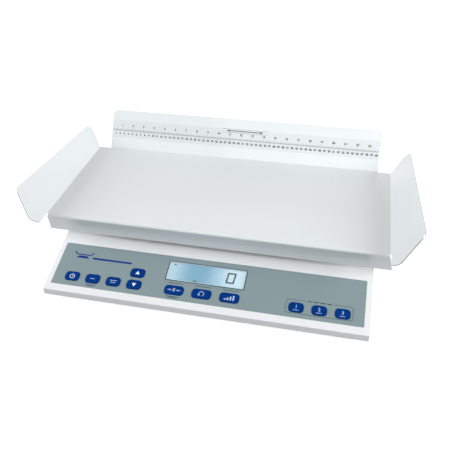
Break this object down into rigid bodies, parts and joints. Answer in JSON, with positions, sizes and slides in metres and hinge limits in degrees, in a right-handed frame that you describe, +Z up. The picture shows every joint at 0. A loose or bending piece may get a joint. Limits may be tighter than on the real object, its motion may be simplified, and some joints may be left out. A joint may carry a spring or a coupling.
{
  "type": "digital baby weighing scale",
  "caption": "Digital baby weighing scale: folded white measuring tray with flared ends on a low base with a sloping console, display and push buttons.",
  "frame": {"origin": "on the table under the middle of the whole scale", "axes": "+X to the user's right along the tray, +Y away from the user, +Z up"},
  "size_m": [0.7596, 0.4262, 0.2012],
  "materials": {
    "tray_enamel": "smooth satin powder coat",
    "strip_print": "printed film",
    "zinc_steel": "zinc plated",
    "grey_rubber": "matte",
    "cast_alloy": "light grey cast",
    "bright_steel": "bright",
    "cell_alloy": "milled",
    "chassis_paint": "grey primer",
    "housing_white": "fine satin moulding",
    "pan_white": "moulded",
    "overlay_grey": "velvet film",
    "window_clear": "clear",
    "display_blue": "lit display",
    "frame_dark": "moulded",
    "diffuser": "milky",
    "board_green": "solder mask",
    "component_dark": "moulded",
    "flex_amber": "film",
    "cable_grey": "jacket",
    "lead_red": "jacket",
    "cell_wrap": "wrapped",
    "contact_nickel": "nickel",
    "inlet_black": "moulded",
    "insert_brass": "turned",
    "key_blue": "embossed film"
  },
  "bodies": {
    "base": {"load_cell": "cell_alloy", "cell_spacer_lower": "zinc_steel", "cell_screws": "bright_steel", "overload_stop": "bright_steel", "chassis": "chassis_paint", "base_cover": "housing_white", "base_pan": "pan_white", "cover_screws": "bright_steel", "control_overlay": "overlay_grey", "display_window": "window_clear", "display_glass": "display_blue", "display_frame": "frame_dark", "backlight": "diffuser", "keypad_board": "board_green", "keypad_screws": "bright_steel", "key_switches": "component_dark", "flex_tail": "flex_amber", "main_board": "board_green", "board_parts": "component_dark", "board_screws": "bright_steel", "cell_cable": "cable_grey", "battery_leads": "lead_red", "battery_box": "pan_white", "batteries": "cell_wrap", "battery_contacts": "contact_nickel", "power_inlet": "inlet_black", "foot_inserts": "insert_brass"},
    "platform": {"platform": "cast_alloy", "cell_spacer_upper": "zinc_steel", "tray_pads": "grey_rubber", "platform_screws": "bright_steel"},
    "tray": {"tray_pan": "tray_enamel", "measuring_strip": "strip_print", "tray_pins": "zinc_steel"},
    "battery_door": {"battery_door": "pan_white"},
    "button_power": {"button_power": "key_blue"},
    "button_left_2": {"button_left_2": "key_blue"},
    "button_left_3": {"button_left_3": "key_blue"},
    "button_up": {"button_up": "key_blue"},
    "button_down": {"button_down": "key_blue"},
    "button_mid_1": {"button_mid_1": "key_blue"},
    "button_mid_2": {"button_mid_2": "key_blue"},
    "button_mid_3": {"button_mid_3": "key_blue"},
    "button_right_1": {"button_right_1": "key_blue"},
    "button_right_2": {"button_right_2": "key_blue"},
    "button_right_3": {"button_right_3": "key_blue"},
    "foot_fl": {"foot_pad_fl": "grey_rubber"},
    "stem_fl": {"foot_stem_fl": "bright_steel"},
    "foot_fr": {"foot_pad_fr": "grey_rubber"},
    "stem_fr": {"foot_stem_fr": "bright_steel"},
    "foot_rl": {"foot_pad_rl": "grey_rubber"},
    "stem_rl": {"foot_stem_rl": "bright_steel"},
    "foot_rr": {"foot_pad_rr": "grey_rubber"},
    "stem_rr": {"foot_stem_rr": "bright_steel"}
  },
  "joints": [
    {"name": "button_power_press", "type": "slide", "parent": "base", "child": "button_power", "axis": [0, 0.2907, -0.9568], "range_m": [0, 0.0005], "stiffness_N_per_m": 300},
    {"name": "button_left_2_press", "type": "slide", "parent": "base", "child": "button_left_2", "axis": [0, 0.2907, -0.9568], "range_m": [0, 0.0005], "stiffness_N_per_m": 300},
    {"name": "button_left_3_press", "type": "slide", "parent": "base", "child": "button_left_3", "axis": [0, 0.2907, -0.9568], "range_m": [0, 0.0005], "stiffness_N_per_m": 300},
    {"name": "button_up_press", "type": "slide", "parent": "base", "child": "button_up", "axis": [0, 0.2907, -0.9568], "range_m": [0, 0.0005], "stiffness_N_per_m": 300},
    {"name": "button_down_press", "type": "slide", "parent": "base", "child": "button_down", "axis": [0, 0.2907, -0.9568], "range_m": [0, 0.0005], "stiffness_N_per_m": 300},
    {"name": "button_mid_1_press", "type": "slide", "parent": "base", "child": "button_mid_1", "axis": [0, 0.2907, -0.9568], "range_m": [0, 0.0005], "stiffness_N_per_m": 300},
    {"name": "button_mid_2_press", "type": "slide", "parent": "base", "child": "button_mid_2", "axis": [0, 0.2907, -0.9568], "range_m": [0, 0.0005], "stiffness_N_per_m": 300},
    {"name": "button_mid_3_press", "type": "slide", "parent": "base", "child": "button_mid_3", "axis": [0, 0.2907, -0.9568], "range_m": [0, 0.0005], "stiffness_N_per_m": 300},
    {"name": "button_right_1_press", "type": "slide", "parent": "base", "child": "button_right_1", "axis": [0, 0.2907, -0.9568], "range_m": [0, 0.0005], "stiffness_N_per_m": 300},
    {"name": "button_right_2_press", "type": "slide", "parent": "base", "child": "button_right_2", "axis": [0, 0.2907, -0.9568], "range_m": [0, 0.0005], "stiffness_N_per_m": 300},
    {"name": "button_right_3_press", "type": "slide", "parent": "base", "child": "button_right_3", "axis": [0, 0.2907, -0.9568], "range_m": [0, 0.0005], "stiffness_N_per_m": 300},
    {"name": "platform_sink", "type": "slide", "parent": "base", "child": "platform", "axis": [0, 0, -1], "range_m": [0, 0.0004], "stiffness_N_per_m": 490000, "deforming": ["load_cell"]},
    {"name": "tray_lift", "type": "slide", "parent": "platform", "child": "tray", "axis": [0, 0, 1], "range_m": [0, 0.06]},
    {"name": "battery_door_hinge", "type": "hinge", "parent": "base", "child": "battery_door", "pos_m": [0.2, 0.08642, 0.015], "axis": [1, 0, 0], "range_deg": [0, 100]},
    {"name": "foot_fl_level", "type": "slide", "parent": "base", "child": "foot_fl", "axis": [0, 0, 1], "range_m": [-0.006, 0.0025]},
    {"name": "foot_fl_turn", "type": "hinge", "parent": "foot_fl", "child": "stem_fl", "pos_m": [-0.288, -0.18208, 0.01], "axis": [0, 0, 1], "range_deg": [-1728, 720]},
    {"name": "foot_fr_level", "type": "slide", "parent": "base", "child": "foot_fr", "axis": [0, 0, 1], "range_m": [-0.006, 0.0025]},
    {"name": "foot_fr_turn", "type": "hinge", "parent": "foot_fr", "child": "stem_fr", "pos_m": [0.288, -0.18208, 0.01], "axis": [0, 0, 1], "range_deg": [-1728, 720]},
    {"name": "foot_rl_level", "type": "slide", "parent": "base", "child": "foot_rl", "axis": [0, 0, 1], "range_m": [-0.006, 0.0025]},
    {"name": "foot_rl_turn", "type": "hinge", "parent": "foot_rl", "child": "stem_rl", "pos_m": [-0.288, 0.12192, 0.01], "axis": [0, 0, 1], "range_deg": [-1728, 720]},
    {"name": "foot_rr_level", "type": "slide", "parent": "base", "child": "foot_rr", "axis": [0, 0, 1], "range_m": [-0.006, 0.0025]},
    {"name": "foot_rr_turn", "type": "hinge", "parent": "foot_rr", "child": "stem_rr", "pos_m": [0.288, 0.12192, 0.01], "axis": [0, 0, 1], "range_deg": [-1728, 720]}
  ],
  "couplings": [
    {"joint": "foot_fl_turn", "follows": "foot_fl_level", "rad_per_m": 5026.5},
    {"joint": "foot_fr_turn", "follows": "foot_fr_level", "rad_per_m": 5026.5},
    {"joint": "foot_rl_turn", "follows": "foot_rl_level", "rad_per_m": 5026.5},
    {"joint": "foot_rr_turn", "follows": "foot_rr_level", "rad_per_m": 5026.5}
  ]
}
